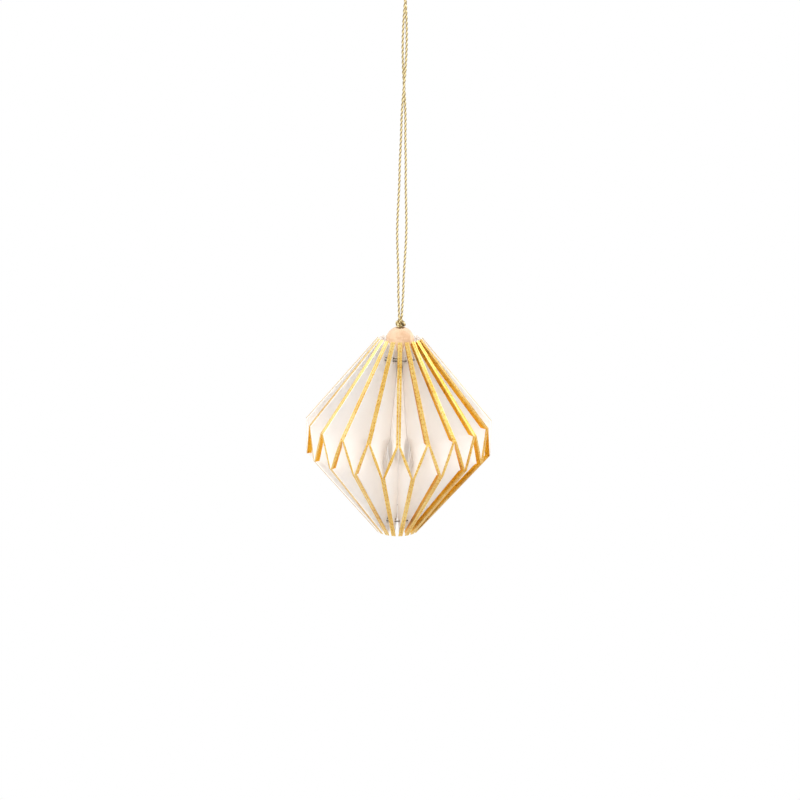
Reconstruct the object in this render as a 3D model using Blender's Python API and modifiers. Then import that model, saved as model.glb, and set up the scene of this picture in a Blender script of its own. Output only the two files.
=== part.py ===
"""Folding card bauble: glued card leaves on two wire rings, a wooden bead and a hanging cord."""

import math

import bmesh
import bpy
from mathutils import Matrix, Vector

MM = 0.001

# Card leaf: one strip of card shaped like a bracket, even in number so that the pleats close
LEAF_THICKNESS = 0.4 * MM
LEAF_WIDTH = 7.6 * MM
LEAF_COUNT = 40
EQUATOR_RADIUS = 35.5 * MM
WAIST_HALF_HEIGHT = 6.2 * MM
WAIST_DEPTH = 15.5 * MM
WAIST_INNER_HALF_HEIGHT = 4.9 * MM
WAIST_STATIONS = 8
GLUE_GAP = 0.1 * MM
TIP_RADIUS = 8.3 * MM
TIP_HEIGHT = 38.7 * MM
TIP_CUT_DEGREES = 51.0

# Wire holes in each arm, measured from the arm's cut end
HOLE_FROM_TIP = 5.6 * MM
HOLE_DIAMETER = 3.0 * MM
HOLE_SIDES = 16

# Sticky dot that closes the last leaf on the first, at the back
DOT_DIAMETER = 4.4 * MM
DOT_THICKNESS = 0.3 * MM
DOT_SEAT_GAP = 0.05 * MM
DOT_DOWN_SHARE = 0.57
DOT_IN_SHARE = 0.4

# Wire rings: an open turn whose ends lap
WIRE_DIAMETER = 0.5 * MM
WIRE_TURNS = 1.25
WIRE_PITCH = 1.0 * MM
WIRE_START_DEGREES = -92.0
WIRE_POINTS_PER_TURN = 24

# Wooden bead on the cord
BEAD_DIAMETER = 10.8 * MM
BEAD_BORE = 3.0 * MM
BEAD_SEAT_GAP = 0.3 * MM

# Hanging cord with its two knots
CORD_DIAMETER = 1.0 * MM
LOOP_HEIGHT = 145.0 * MM
LOOP_SPREAD = 1.9 * MM
EYE_RADIUS = 2.2 * MM
EYE_RISE = 9.0 * MM
CORE_DIAMETER = 2.0 * MM
KNOT_DIAMETER = 3.6 * MM
KNOT_HEIGHT = 3.8 * MM
KNOT_SEAT_GAP = 0.3 * MM

# Stop disc under the leaf tips
DISC_DIAMETER = 13.0 * MM
DISC_THICKNESS = 0.8 * MM
DISC_BORE = 2.8 * MM
DISC_SEAT_GAP = 0.3 * MM

# Each leaf stays in a sector of its own between two glue planes
STEP = 2.0 * math.pi / LEAF_COUNT
FRONT = LEAF_COUNT // 2


def wipe():
    """Remove every object of the start-up file."""
    for obj in list(bpy.data.objects):
        bpy.data.objects.remove(obj, do_unlink=True)


def collection(name):
    """Make a collection and link it to the scene."""
    made = bpy.data.collections.new(name)
    bpy.context.scene.collection.children.link(made)
    return made


def material(name, colour, roughness, metallic=0.0):
    """Make a plain Principled material."""
    made = bpy.data.materials.new(name)
    made.use_nodes = True
    shader = made.node_tree.nodes["Principled BSDF"]
    shader.inputs["Base Color"].default_value = (*colour, 1.0)
    shader.inputs["Roughness"].default_value = roughness
    shader.inputs["Metallic"].default_value = metallic
    return made


wipe()
BAUBLE = collection("folding_card_bauble")
TOOLS = collection("cutters")
CARD = material("white_card", (0.92, 0.90, 0.87), 0.7)
STEEL = material("wire_steel", (0.45, 0.44, 0.43), 0.35, 1.0)
WOOD = material("pale_wood", (0.80, 0.62, 0.42), 0.55)
GOLD = material("gold_cord", (0.72, 0.56, 0.18), 0.4, 0.8)
GREY = material("grey_board", (0.55, 0.57, 0.60), 0.7)
FOAM = material("white_foam", (0.95, 0.95, 0.95), 0.8)


def keep(obj, name, finish, home=None):
    """Name an object, give it its material and put it in a collection."""
    obj.name = name
    obj.data.name = name
    obj.data.materials.clear()
    obj.data.materials.append(finish)
    for user in list(obj.users_collection):
        user.objects.unlink(obj)
    (home or BAUBLE).objects.link(obj)
    return obj


def plain_mesh(obj):
    """Turn a curve or a modified object into a plain mesh object."""
    bpy.context.view_layer.update()
    found = obj.evaluated_get(bpy.context.evaluated_depsgraph_get())
    mesh = bpy.data.meshes.new_from_object(found)
    bpy.data.objects.remove(obj, do_unlink=True)
    bm = bmesh.new()
    bm.from_mesh(mesh)
    bmesh.ops.remove_doubles(bm, verts=bm.verts, dist=1e-7)
    bmesh.ops.recalc_face_normals(bm, faces=bm.faces)
    bm.to_mesh(mesh)
    bm.free()
    made = bpy.data.objects.new("plain", mesh)
    bpy.context.scene.collection.objects.link(made)
    return made


def across(azimuth):
    """The unit vector out from the axis, with azimuth 0 at the front (-Y)."""
    return Vector((math.sin(azimuth), -math.cos(azimuth), 0.0))


def upright(azimuth, flip=False):
    """The matrix that stands a leaf drawn in radius, height and side at an azimuth."""
    out = across(azimuth)
    side = Vector((math.cos(azimuth), math.sin(azimuth), 0.0))
    up = Vector((0.0, 0.0, -1.0 if flip else 1.0))
    rows = [(out[i], up[i], side[i], 0.0) for i in range(3)]
    return Matrix((*rows, (0.0, 0.0, 0.0, 1.0)))


# Corners of the upper half of a leaf in radius and height
ARM_LEAN = math.atan2(EQUATOR_RADIUS - TIP_RADIUS, TIP_HEIGHT - WAIST_HALF_HEIGHT)
ARM_DOWN = Vector((math.sin(ARM_LEAN), -math.cos(ARM_LEAN)))
ARM_IN = Vector((-math.cos(ARM_LEAN), -math.sin(ARM_LEAN)))
TIP_CUT = math.radians(TIP_CUT_DEGREES)
OUTER_TIP = Vector((TIP_RADIUS, TIP_HEIGHT))
OUTER_WAIST = Vector((EQUATOR_RADIUS, WAIST_HALF_HEIGHT))
INNER_WAIST = Vector((EQUATOR_RADIUS - WAIST_DEPTH, WAIST_INNER_HALF_HEIGHT))
CUT_LENGTH = LEAF_WIDTH / math.cos(TIP_CUT - ARM_LEAN)
INNER_TIP = OUTER_TIP - CUT_LENGTH * Vector((math.cos(TIP_CUT), math.sin(TIP_CUT)))
HOLE = OUTER_TIP + ARM_DOWN * HOLE_FROM_TIP + ARM_IN * (LEAF_WIDTH / 2)


def reach(radius):
    """How far a leaf's middle surface leans to a side at a radius, inside its sector."""
    return radius * math.tan(STEP / 2) - LEAF_THICKNESS / 2 - GLUE_GAP / 2 / math.cos(STEP / 2)


def leaf_point(outer, inner, lean, share_in):
    """A point of the leaf's middle surface, between its outer and its inner edge."""
    flat = outer.lerp(inner, share_in)
    side = lean * ((1 - share_in) * reach(outer.x) - share_in * reach(inner.x))
    return Vector((flat.x, flat.y, side))


def leaf_stations():
    """The leaf's outer point, inner point and lean, from the upper tip down to the lower tip."""
    rows = [(OUTER_TIP, INNER_TIP, 1.0)]
    for i in range(WAIST_STATIONS + 1):
        lean = 1.0 - 2.0 * i / WAIST_STATIONS
        outer = Vector((OUTER_WAIST.x, lean * OUTER_WAIST.y))
        inner = Vector((INNER_WAIST.x, lean * INNER_WAIST.y))
        rows.append((outer, inner, lean))
    rows.append((Vector((OUTER_TIP.x, -OUTER_TIP.y)), Vector((INNER_TIP.x, -INNER_TIP.y)), -1.0))
    return rows


def leaf_pattern():
    """One twisted leaf with its two wire holes, drawn in radius, height and side."""
    bm = bmesh.new()
    half = Vector((0.0, 0.0, LEAF_THICKNESS / 2))
    rings = []
    for outer, inner, lean in leaf_stations():
        edge = leaf_point(outer, inner, lean, 0.0)
        back = leaf_point(outer, inner, lean, 1.0)
        rings.append([bm.verts.new(p) for p in (edge + half, edge - half, back - half, back + half)])
    for near, far in zip(rings, rings[1:]):
        for i, j, split in ((0, 1, True), (1, 2, True), (2, 3, True), (3, 0, False)):
            if split:
                bm.faces.new((near[i], near[j], far[j]))
                bm.faces.new((near[i], far[j], far[i]))
            else:
                bm.faces.new((near[i], near[j], far[i]))
                bm.faces.new((near[j], far[j], far[i]))
    bm.faces.new(rings[0])
    bm.faces.new(rings[-1])
    bmesh.ops.recalc_face_normals(bm, faces=bm.faces)
    mesh = bpy.data.meshes.new("leaf")
    bm.to_mesh(mesh)
    bm.free()
    leaf = bpy.data.objects.new("leaf", mesh)
    bpy.context.scene.collection.objects.link(leaf)
    for sign in (1.0, -1.0):
        bpy.ops.mesh.primitive_cylinder_add(
            vertices=HOLE_SIDES, radius=HOLE_DIAMETER / 2, depth=LEAF_WIDTH, location=(0.0, 0.0, 0.0)
        )
        drill = bpy.context.object
        drill.data.transform(Matrix.Translation((HOLE.x, sign * HOLE.y, 0.0)))
        leaf = combine(leaf, drill, "DIFFERENCE")
    return leaf


def stand(mesh, matrix):
    """Move a mesh, keeping its faces outward under a mirrored matrix."""
    mesh.transform(matrix)
    if matrix.determinant() < 0:
        mesh.flip_normals()
    return mesh


def placed_copy(pattern, matrix):
    """A copy of a pattern object with its place in the mesh."""
    mesh = stand(pattern.data.copy(), matrix)
    obj = bpy.data.objects.new("copy", mesh)
    bpy.context.scene.collection.objects.link(obj)
    return obj


def combine(base, extra, operation):
    """Unite one solid with another, or cut it by the other, and drop the second."""
    extra.hide_render = True
    extra.display_type = "WIRE"
    TOOLS.objects.link(extra)
    step = base.modifiers.new(operation, "BOOLEAN")
    step.operation = operation
    step.solver = "EXACT"
    step.object = extra
    made = plain_mesh(base)
    bpy.data.objects.remove(extra, do_unlink=True)
    return made


def build_leaves():
    """Every leaf in its sector, each second one upside down so that the pleats meet in turn."""
    pattern = leaf_pattern()
    for leaf in range(1, LEAF_COUNT + 1):
        azimuth = (leaf - 0.5 - FRONT) * STEP
        keep(placed_copy(pattern, upright(azimuth, leaf % 2 == 1)), f"leaf_{leaf:02d}", CARD)
    bpy.data.objects.remove(pattern, do_unlink=True)


def tube(points, diameter, closed=False):
    """A round tube of one curve through points."""
    curve = bpy.data.curves.new("tube", "CURVE")
    curve.dimensions = "3D"
    curve.bevel_depth = diameter / 2
    curve.bevel_resolution = 1
    curve.use_fill_caps = True
    spline = curve.splines.new("POLY")
    spline.points.add(len(points) - 1)
    for point, place in zip(spline.points, points):
        point.co = (*place, 1.0)
    spline.use_cyclic_u = closed
    obj = bpy.data.objects.new("tube", curve)
    bpy.context.scene.collection.objects.link(obj)
    return plain_mesh(obj)


def least_gap(points, diameter, apart):
    """The least clear gap of a tube to itself, between points that lie apart along it."""
    gaps = [
        (points[i] - points[j]).length
        for i in range(len(points))
        for j in range(i + apart, len(points))
    ]
    return min(gaps) - diameter


def build_ring(name, sign):
    """One wire ring through the holes, with lapped ends."""
    count = round(WIRE_TURNS * WIRE_POINTS_PER_TURN)
    start = math.radians(WIRE_START_DEGREES)
    points = []
    for i in range(count + 1):
        turn = WIRE_TURNS * i / count
        rise = (turn - WIRE_TURNS / 2) * WIRE_PITCH
        lift = Vector((0.0, 0.0, sign * HOLE.y + rise))
        points.append(across(start + 2 * math.pi * turn) * HOLE.x + lift)
    gap = least_gap(points, WIRE_DIAMETER, WIRE_POINTS_PER_TURN // 2)
    print(f"{name}: least gap to itself {gap / MM:.2f} mm")
    keep(tube(points, WIRE_DIAMETER), name, STEEL)


def turned(profile, steps, name):
    """A solid turned about the axis from a closed profile in radius and height."""
    mesh = bpy.data.meshes.new(name)
    points = [(x, 0.0, z) for x, z in profile]
    edges = [(i, (i + 1) % len(points)) for i in range(len(points))]
    mesh.from_pydata(points, edges, [])
    obj = bpy.data.objects.new(name, mesh)
    bpy.context.scene.collection.objects.link(obj)
    screw = obj.modifiers.new("turn", "SCREW")
    screw.axis = "Z"
    screw.angle = 2 * math.pi
    screw.steps = steps
    screw.render_steps = steps
    screw.use_merge_vertices = True
    screw.merge_threshold = 1e-6
    return plain_mesh(obj)


# Bead height from its seat on the cut leaf tips
BEAD_RADIUS = BEAD_DIAMETER / 2
BEAD_HEIGHT = TIP_HEIGHT + (
    BEAD_RADIUS + BEAD_SEAT_GAP - TIP_RADIUS * math.sin(TIP_CUT)
) / math.cos(TIP_CUT)
BEAD_FLAT = math.sqrt(BEAD_RADIUS**2 - (BEAD_BORE / 2) ** 2)


def build_bead():
    """The round wooden bead with its bore."""
    reach = math.asin(BEAD_FLAT / BEAD_RADIUS)
    steps = 16
    profile = []
    for i in range(steps + 1):
        angle = -reach + 2 * reach * i / steps
        profile.append((BEAD_RADIUS * math.cos(angle), BEAD_HEIGHT + BEAD_RADIUS * math.sin(angle)))
    keep(turned(profile, 32, "bead"), "wooden_bead", WOOD)


# Stop disc height from the inner edge of the leaves
DISC_RADIUS = DISC_DIAMETER / 2
INNER_FALL = (INNER_TIP.y - INNER_WAIST.y) / (INNER_WAIST.x - INNER_TIP.x)
DISC_TOP = INNER_TIP.y - (DISC_RADIUS - INNER_TIP.x) * INNER_FALL - DISC_SEAT_GAP
DISC_BASE = DISC_TOP - DISC_THICKNESS


def build_disc():
    """The grey stop disc that carries the leaf tips on the cord."""
    profile = [
        (DISC_BORE / 2, DISC_BASE),
        (DISC_RADIUS, DISC_BASE),
        (DISC_RADIUS, DISC_TOP),
        (DISC_BORE / 2, DISC_TOP),
    ]
    keep(turned(profile, 32, "disc"), "stop_disc", GREY)


def knot(base, name):
    """A knot as a round lump on the axis, base being its lowest point."""
    steps = 10
    profile = [(0.0, base)]
    for i in range(1, steps):
        angle = math.pi * i / steps
        swell = KNOT_DIAMETER / 2 * math.sin(angle)
        profile.append((swell, base + KNOT_HEIGHT / 2 * (1 - math.cos(angle))))
    profile.append((0.0, base + KNOT_HEIGHT))
    return turned(profile, 16, name)


def build_cord():
    """The gold cord: hanging loop, knot on the bead, core through it and end knot."""
    top_knot = BEAD_HEIGHT + BEAD_FLAT + KNOT_SEAT_GAP
    end_knot = DISC_BASE - KNOT_SEAT_GAP - KNOT_HEIGHT
    leave = top_knot + KNOT_HEIGHT * 0.8
    arch = LOOP_SPREAD / 2
    crown = top_knot + KNOT_HEIGHT + LOOP_HEIGHT - EYE_RADIUS
    eye = crown - EYE_RISE
    heights = [leave + (eye - leave) * i / 14 for i in range(14)] + [eye + EYE_RISE * i / 8 for i in range(9)]
    left, right = [], []
    for height in heights:
        spread = arch * min(1.0, 0.55 + 3.0 * (height - leave) / (crown - leave))
        rise = max(0.0, (height - eye) / EYE_RISE)
        spread += (EYE_RADIUS - arch) * rise**2 * (3 - 2 * rise)
        left.append(Vector((-spread, 0.0, height)))
        right.append(Vector((spread, 0.0, height)))
    bend = [
        Vector((-math.cos(math.pi * i / 12), 0.0, math.sin(math.pi * i / 12))) * EYE_RADIUS
        + Vector((0.0, 0.0, crown))
        for i in range(1, 12)
    ]
    path = left + bend + right[::-1]
    print(f"cord loop: least gap to itself {(2 * arch - CORD_DIAMETER) / MM:.2f} mm")
    cord = tube(path, CORD_DIAMETER)
    cord = combine(cord, knot(top_knot, "top_knot"), "UNION")
    core = tube(
        [Vector((0.0, 0.0, top_knot + KNOT_HEIGHT / 2)), Vector((0.0, 0.0, end_knot + KNOT_HEIGHT / 2))],
        CORE_DIAMETER,
    )
    cord = combine(cord, core, "UNION")
    cord = combine(cord, knot(end_knot, "end_knot"), "UNION")
    keep(cord, "hanging_cord", GOLD)


def build_dot():
    """The sticky dot on the face of the last leaf that meets the first leaf."""
    outer = OUTER_TIP.lerp(OUTER_WAIST, DOT_DOWN_SHARE)
    inner = INNER_TIP.lerp(INNER_WAIST, DOT_DOWN_SHARE)
    place = leaf_point(outer, inner, 1.0, DOT_IN_SHARE)
    along = leaf_point(OUTER_WAIST, INNER_WAIST, 1.0, DOT_IN_SHARE) - place
    inward = leaf_point(outer, inner, 1.0, 1.0) - place
    normal = along.cross(inward).normalized()
    if normal.z < 0:
        normal.negate()
    lift = LEAF_THICKNESS / 2 * normal.z + DOT_SEAT_GAP + DOT_THICKNESS / 2
    bpy.ops.mesh.primitive_cylinder_add(
        vertices=20, radius=DOT_DIAMETER / 2, depth=DOT_THICKNESS, location=(0.0, 0.0, 0.0)
    )
    dot = bpy.context.object
    dot.data.transform(Vector((0.0, 0.0, 1.0)).rotation_difference(normal).to_matrix().to_4x4())
    dot.data.transform(Matrix.Translation(place + normal * lift))
    stand(dot.data, upright((LEAF_COUNT - 0.5 - FRONT) * STEP))
    keep(dot, "closing_dot", FOAM)


def hang():
    """Lower the whole bauble so that the hook's point inside the loop is the origin."""
    crown = BEAD_HEIGHT + BEAD_FLAT + KNOT_SEAT_GAP + KNOT_HEIGHT + LOOP_HEIGHT
    drop = crown - CORD_DIAMETER / 2
    for obj in BAUBLE.objects:
        obj.data.transform(Matrix.Translation((0.0, 0.0, -drop)))
    print(f"equator {drop / MM:.3f} mm below the hook")


build_leaves()
build_ring("upper_ring", 1.0)
build_ring("lower_ring", -1.0)
build_bead()
build_disc()
build_cord()
build_dot()
hang()
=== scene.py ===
"""Looks of the folding card bauble: gilded card leaves, wire rings, wooden bead and twisted gold cord."""

import logging
import math
from dataclasses import dataclass, field, replace
from enum import Enum
from typing import Callable, Optional, Sequence, Union

import bmesh
import bpy
from bpy.types import Material, Mesh, Object
from mathutils import Matrix, Vector
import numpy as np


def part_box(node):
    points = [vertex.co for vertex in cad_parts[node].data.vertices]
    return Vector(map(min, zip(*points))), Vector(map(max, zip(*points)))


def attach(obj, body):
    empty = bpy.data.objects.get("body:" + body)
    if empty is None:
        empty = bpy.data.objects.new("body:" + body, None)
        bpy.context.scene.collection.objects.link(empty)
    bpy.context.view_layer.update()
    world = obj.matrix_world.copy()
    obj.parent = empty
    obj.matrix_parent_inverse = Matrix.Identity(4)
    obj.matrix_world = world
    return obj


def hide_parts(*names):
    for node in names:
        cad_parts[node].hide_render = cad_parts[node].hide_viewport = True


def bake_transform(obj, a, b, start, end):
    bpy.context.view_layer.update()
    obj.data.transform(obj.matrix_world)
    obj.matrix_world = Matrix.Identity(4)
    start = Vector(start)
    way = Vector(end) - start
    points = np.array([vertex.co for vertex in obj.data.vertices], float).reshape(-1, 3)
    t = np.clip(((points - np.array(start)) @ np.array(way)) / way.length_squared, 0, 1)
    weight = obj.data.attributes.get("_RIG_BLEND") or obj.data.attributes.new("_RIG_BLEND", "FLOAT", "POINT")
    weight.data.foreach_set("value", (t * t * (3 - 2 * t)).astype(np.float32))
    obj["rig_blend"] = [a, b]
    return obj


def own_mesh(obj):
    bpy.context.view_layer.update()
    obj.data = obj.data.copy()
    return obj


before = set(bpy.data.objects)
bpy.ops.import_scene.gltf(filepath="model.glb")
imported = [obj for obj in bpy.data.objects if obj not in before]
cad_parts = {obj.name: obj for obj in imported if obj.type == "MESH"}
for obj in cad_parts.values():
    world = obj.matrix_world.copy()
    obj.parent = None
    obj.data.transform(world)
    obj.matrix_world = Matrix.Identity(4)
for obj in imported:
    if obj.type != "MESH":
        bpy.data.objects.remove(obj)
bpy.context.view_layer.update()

LOG = logging.getLogger("bauble")
MM = 0.001
TURN = 2.0 * math.pi
EQUATOR = -191.295 * MM
SHARP = math.radians(40.0)
HOLE_CELLS = 4
Flat = tuple[float, float]
Triple = tuple[float, float, float]
Pair = tuple[int, int]
WHITE: Triple = (1.0, 1.0, 1.0)


class Slot(Enum):
    """The record's material slots."""

    CARD = "white_card"
    WIRE = "wire"
    WOOD = "wood"
    BOARD = "grey_board"
    CORD = "gold_cord"
    FOAM = "white_foam"


class Half(Enum):
    """Which end of the leaves a ring is threaded through."""

    UPPER = 1.0
    LOWER = -1.0


class Gilt(Enum):
    """Where a face of the leaf pattern takes foil; LEFT and RIGHT are also the hands of a leaf."""

    NONE = 0.0
    LEFT = 1.0
    RIGHT = -1.0
    WAIST = 2.0
    EDGE = 3.0
    NEAR = 4.0


class FoilLapAndPaintedLight(Enum):
    """How far the foil laps over the faces of a leaf's arms; set by azimuth, it also places painted highlight
    and painted shade on the leaves.
    """

    NONE = 0.0
    NARROW = 1.0
    WIDE = 2.0


# The foil on the two faces of a cell, by its column from the outer edge and whether it lies in the waist.
BARE = (Gilt.NONE, Gilt.NONE)
FOIL = {
    (0, False): (Gilt.NEAR, Gilt.NEAR),
    (0, True): (Gilt.WAIST, Gilt.NEAR),
    (1, False): (Gilt.RIGHT, Gilt.LEFT),
    (1, True): (Gilt.WAIST, Gilt.NONE),
}


def srgb(*channels: int) -> Triple:
    """Turn red, green and blue from 0 to 255, as seen on a screen, into linear light."""
    shares = (channel / 255.0 for channel in channels)
    return tuple(s / 12.92 if s <= 0.04045 else ((s + 0.055) / 1.055) ** 2.4 for s in shares)


def across(azimuth: float) -> Vector:
    """The unit vector out from the axis, with azimuth 0 at the front."""
    return Vector((math.sin(azimuth), -math.cos(azimuth), 0.0))


def upright(height: float) -> Vector:
    """A point on the axis."""
    return Vector((0.0, 0.0, height))


def ease(share: float) -> float:
    """A smooth step from 0 to 1."""
    share = min(max(share, 0.0), 1.0)
    return share * share * (3.0 - 2.0 * share)


def operator(operation: str, reflected: bool = False) -> Callable[["Value", "Operand"], "Value"]:
    """Make the method for one operator of the arithmetic on sockets.

    Args:
        operation: the Math node's operation.
        reflected: whether the socket is the second operand.

    Returns:
        The method.
    """

    def apply(self: "Value", other: "Operand" = 0.0) -> "Value":
        """Add the Math node and return its result."""
        first, second = (other, self) if reflected else (self, other)
        return self.tree.out("ShaderNodeMath", {0: first, 1: second}, operation=operation)

    return apply


class Value:
    """A node socket that takes part in Python arithmetic; each operator adds a Math node."""

    __add__, __radd__ = operator("ADD"), operator("ADD", True)
    __sub__, __rsub__ = operator("SUBTRACT"), operator("SUBTRACT", True)
    __mul__, __rmul__ = operator("MULTIPLY"), operator("MULTIPLY", True)
    __truediv__, __rtruediv__ = operator("DIVIDE"), operator("DIVIDE", True)
    __pow__, __rpow__ = operator("POWER"), operator("POWER", True)
    cosine, sine = operator("COSINE"), operator("SINE")

    def __init__(self, tree: "Tree", socket: bpy.types.NodeSocket) -> None:
        """Wrap an output socket of one of a tree's nodes."""
        self.tree, self.socket = tree, socket

    def limited(self, low: float, high: float) -> "Value":
        """This mapped from 0..1 onto a range."""
        return self * (high - low) + low


Operand = Union[Value, int, float]


class Tree:
    """A node tree that is written by code, for a material, a world or Geometry Nodes."""

    def __init__(self, nodes: bpy.types.NodeTree) -> None:
        """Wrap a node tree."""
        self.nodes = nodes

    def node(self, kind: str, sockets: Optional[dict] = None, **settings: object) -> bpy.types.Node:
        """Add any node, with its settings first and then its sockets.

        Args:
            kind: the node's type name.
            sockets: values or links by a socket's name or number.
            settings: the node's own properties; "stops" gives a ramp's places and colours.

        Returns:
            The node.
        """
        made = self.nodes.nodes.new(kind)
        for name, setting in settings.items():
            if name == "stops":
                self._set_stops(made.color_ramp, setting)
            else:
                setattr(made, name, setting)
        self.feed(made, sockets or {})
        return made

    def feed(self, node: bpy.types.Node, sockets: dict) -> None:
        """Set or link a node's inputs.

        Args:
            node: the node.
            sockets: values or links by a socket's name or number.
        """
        for name, given in sockets.items():
            if isinstance(given, Value):
                self.nodes.links.new(given.socket, node.inputs[name])
            else:
                node.inputs[name].default_value = given

    def out(
        self, kind: str, sockets: Optional[dict] = None, pick: Union[int, str] = 0, **settings: object
    ) -> Value:
        """Add a node and return the output of a name or a number."""
        return Value(self, self.node(kind, sockets, **settings).outputs[pick])

    @staticmethod
    def _set_stops(ramp: bpy.types.ColorRamp, stops: Sequence[tuple[float, Triple]]) -> None:
        """Give a colour ramp its stops.

        Args:
            ramp: the ramp.
            stops: the place and the colour of each stop.
        """
        while len(ramp.elements) < len(stops):
            ramp.elements.new(1.0)
        for element, (place, colour) in zip(ramp.elements, stops):
            element.position = place
            element.color = (*colour, 1.0)


class Surface(Tree):
    """A procedural material around one Principled shader."""

    def __init__(self, name: str) -> None:
        """Start a material.

        Args:
            name: the material's name.
        """
        self.material = bpy.data.materials.new(name)
        self.material.use_nodes = True
        super().__init__(self.material.node_tree)
        self.shader = self.nodes.nodes["Principled BSDF"]
        self.place = self.out("ShaderNodeTexCoord", pick="Object")

    def carried(self, name: str) -> Value:
        """A number that the mesh carries."""
        return self.out("ShaderNodeAttribute", pick="Fac", attribute_name=name)


@dataclass(frozen=True)
class Layer:
    """A noise, cells or a number that the mesh carries, with its share in a finish's tone."""

    share: float
    scale: float = 0.0
    detail: float = 2.0
    stretch: Optional[Triple] = None
    distortion: float = 0.0
    cells: bool = False
    carried: str = ""

    def add(self, stuff: Surface) -> Value:
        """Add the layer's nodes to a material.

        Args:
            stuff: the material.

        Returns:
            The layer, from 0 to 1.
        """
        if self.carried:
            return stuff.carried(self.carried)
        sockets = {"Vector": stuff.place, "Scale": self.scale}
        if self.cells:
            return stuff.out("ShaderNodeTexVoronoi", sockets, pick="Distance")
        if self.stretch:
            sockets["Vector"] = stuff.out("ShaderNodeMapping", {"Vector": stuff.place, "Scale": self.stretch})
        sockets |= {"Detail": self.detail, "Distortion": self.distortion}
        return stuff.out("ShaderNodeTexNoise", sockets)


@dataclass(frozen=True)
class Finish:
    """A stuff whose colour follows the sum of its layers, and its gloss and relief the first of them.

    The bumps are the strength and the depth of the first layers' relief. The inner colour is painted light:
    what a leaf turns to at its inner edge, to lift the shade inside the bauble.
    """

    name: str
    layers: tuple[Layer, ...]
    stops: tuple[tuple[float, Triple], ...]
    rough: Union[float, Flat]
    bumps: tuple[Flat, ...]
    constants: tuple[tuple[str, Union[float, Triple]], ...] = ()
    inner: Optional[Triple] = None

    def make(self) -> Material:
        """Build the material.

        Returns:
            The material.
        """
        stuff = Surface(self.name)
        layers = [layer.add(stuff) for layer in self.layers]
        shares = [value * layer.share for value, layer in zip(layers, self.layers)]
        tone = shares[0]
        for share in shares[1:]:
            tone = tone + share
        tint = stuff.out("ShaderNodeValToRGB", {"Fac": tone}, stops=self.stops)
        # Painted light: towards the leaf's inner edge the colour turns to the inner colour, by the square of the
        # share inwards.
        if self.inner:
            sockets = {0: stuff.carried("inward") ** 2.0, 6: tint, 7: (*self.inner, 1.0)}
            tint = stuff.out("ShaderNodeMix", sockets, pick=2, data_type="RGBA")
        normal: dict[str, Value] = {}
        for value, (strength, depth) in zip(layers, self.bumps):
            sockets = {"Height": value, "Strength": strength, "Distance": depth, **normal}
            normal = {"Normal": stuff.out("ShaderNodeBump", sockets)}
        rough = self.rough if isinstance(self.rough, float) else layers[0].limited(*self.rough)
        stuff.feed(stuff.shader, {"Base Color": tint, "Roughness": rough, **normal, **dict(self.constants)})
        return stuff.material


CARD = Finish(
    "matte_white_card",
    layers=(Layer(0.3, 1800.0, 4.0, stretch=(1.0, 1.0, 0.35)), Layer(0.7, 60.0, 3.0)),
    stops=((0.3, srgb(252, 249, 246)), (0.75, srgb(250, 246, 241))),
    rough=(0.68, 0.86),
    bumps=((0.25, 0.03 * MM),),
    constants=(
        ("Specular IOR Level", 0.25),
        ("Subsurface Weight", 1.0),
        ("Subsurface Radius", (1.0, 0.98, 0.96)),
        ("Subsurface Scale", 2.2 * MM),
    ),
    # Painted light: the card is a touch lighter at the leaves' inner edges, where the inside of the bauble lies
    # in shade.
    inner=srgb(254, 252, 250),
)
GILT = Finish(
    "crinkled_gold_foil",
    layers=(Layer(0.45, 1500.0, 3.0, distortion=0.8), Layer(0.1, 5200.0, 1.0), Layer(0.45, 55.0)),
    stops=((0.30, srgb(202, 138, 46)), (0.46, srgb(231, 184, 88)), (0.62, srgb(247, 218, 142))),
    rough=(0.2, 0.38),
    bumps=((0.3, 0.08 * MM), (0.12, 0.02 * MM)),
    constants=(("Metallic", 1.0),),
)
# The foil lapped onto the leaves' faces, in a deeper, oranger copy of the gold: real foil laps in a colour that
# is painted shaded reflection.
MARGIN_AND_PAINTED_SHADE = replace(
    GILT,
    name="deep_gold_foil_painted_shade",
    stops=((0.30, srgb(158, 92, 10)), (0.46, srgb(236, 162, 40)), (0.62, srgb(246, 190, 66))),
    bumps=((1.2, 0.08 * MM), (0.12, 0.02 * MM)),
)
WOOD = Finish(
    "pale_turned_wood",
    layers=(
        Layer(0.25, 4200.0, stretch=(1.0, 1.0, 0.12)),
        Layer(0.75, 260.0, 3.0, stretch=(0.6, 0.8, 1.0), distortion=1.2),
    ),
    stops=((0.36, srgb(212, 174, 138)), (0.5, srgb(228, 194, 160)), (0.66, srgb(236, 206, 174))),
    rough=(0.3, 0.48),
    bumps=((0.2, 0.04 * MM),),
    constants=(("Specular IOR Level", 0.4), ("Coat Weight", 0.15), ("Coat Roughness", 0.35)),
)
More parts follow.
